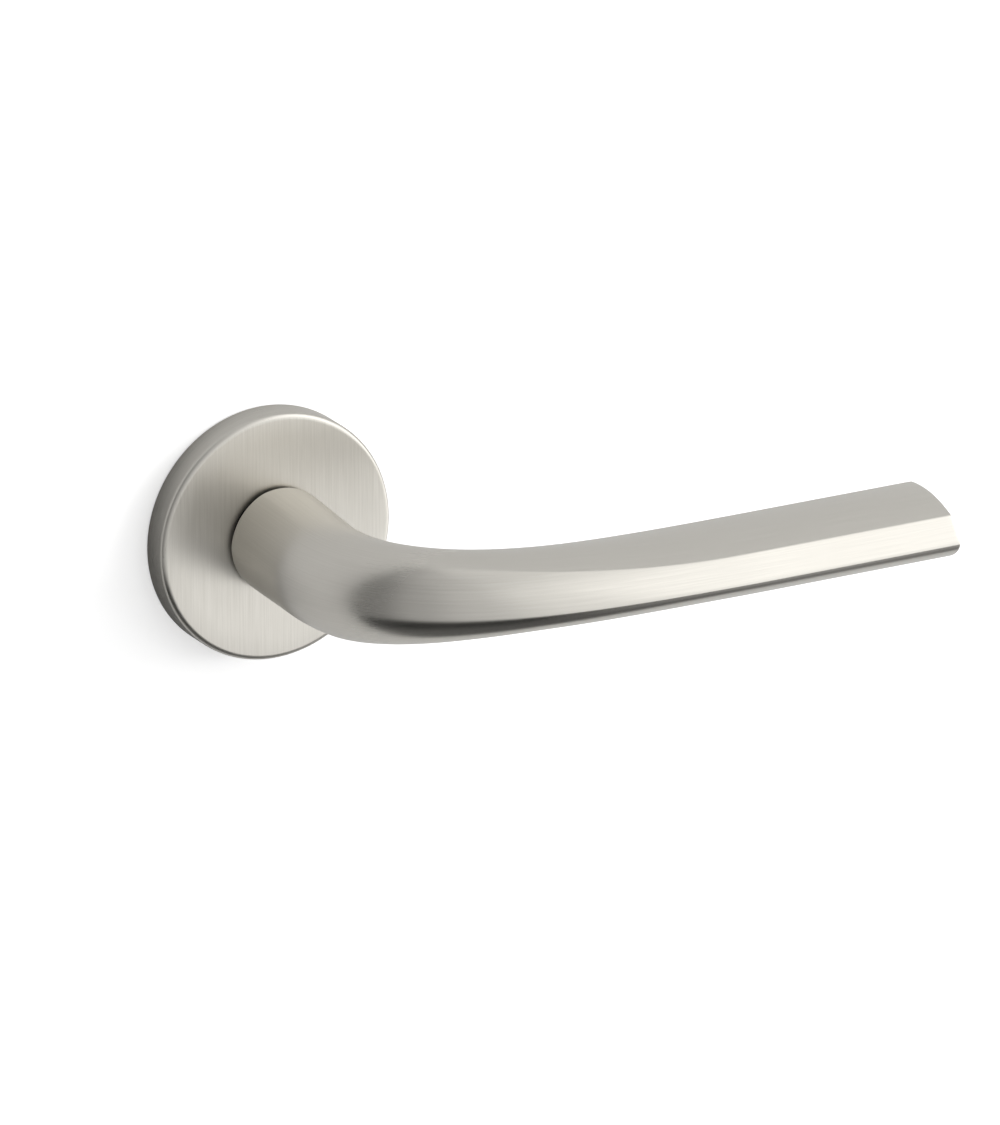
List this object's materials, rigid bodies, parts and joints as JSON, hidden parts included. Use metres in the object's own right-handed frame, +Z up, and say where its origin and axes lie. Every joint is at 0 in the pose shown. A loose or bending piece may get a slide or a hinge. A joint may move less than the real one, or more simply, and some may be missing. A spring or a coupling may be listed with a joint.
{
  "type": "door lever handle",
  "caption": "Lever handle on a round sprung rose: a round neck bends into a flat grip with one crisp long edge; turns a square spindle and springs back.",
  "frame": {"origin": "where the spindle's axis meets the door's face, which is the rose's back face", "axes": "+Y runs along the spindle into the door, +X along the grip, +Z up"},
  "size_m": [0.1446, 0.1039, 0.052],
  "materials": {
    "satin_nickel": "satin brushed nickel plating, brushed lengthwise on the lever and vertically on the rose",
    "zinc_casting": "plain die-cast zinc, matt",
    "zinc_plated_steel": "bright zinc plating",
    "spring_steel": "drawn and rolled spring steel",
    "black_steel": "oiled black oxide",
    "white_nylon": "moulded natural nylon",
    "black_nylon": "moulded black nylon"
  },
  "bodies": {
    "rose": {"rose_cover": "satin_nickel", "rose_base": "zinc_casting", "neck_bush": "white_nylon", "glide_ring": "black_nylon", "spring_plate": "zinc_plated_steel", "cover_snap_ring": "spring_steel", "return_spring_upper": "spring_steel", "return_spring_lower": "spring_steel", "plate_screw_upper": "zinc_plated_steel", "plate_screw_lower": "zinc_plated_steel", "wood_screw_upper": "zinc_plated_steel", "wood_screw_lower": "zinc_plated_steel", "bolt_left": "zinc_plated_steel", "bolt_right": "zinc_plated_steel", "bolt_sleeve_left": "zinc_plated_steel", "bolt_sleeve_right": "zinc_plated_steel"},
    "handle": {"lever": "satin_nickel", "set_screw": "black_steel", "spindle": "zinc_plated_steel", "spring_driver": "zinc_plated_steel", "thrust_washer": "spring_steel", "retaining_ring": "black_steel"}
  },
  "joints": [
    {"name": "lever_turn", "type": "hinge", "parent": "rose", "child": "handle", "pos_m": [0, 0, 0], "axis": [0, 1, 0], "range_deg": [0, 45], "stiffness_Nm_per_rad": 0.9, "springref_deg": -51.57, "deforming": ["return_spring_upper", "return_spring_lower"]}
  ]
}
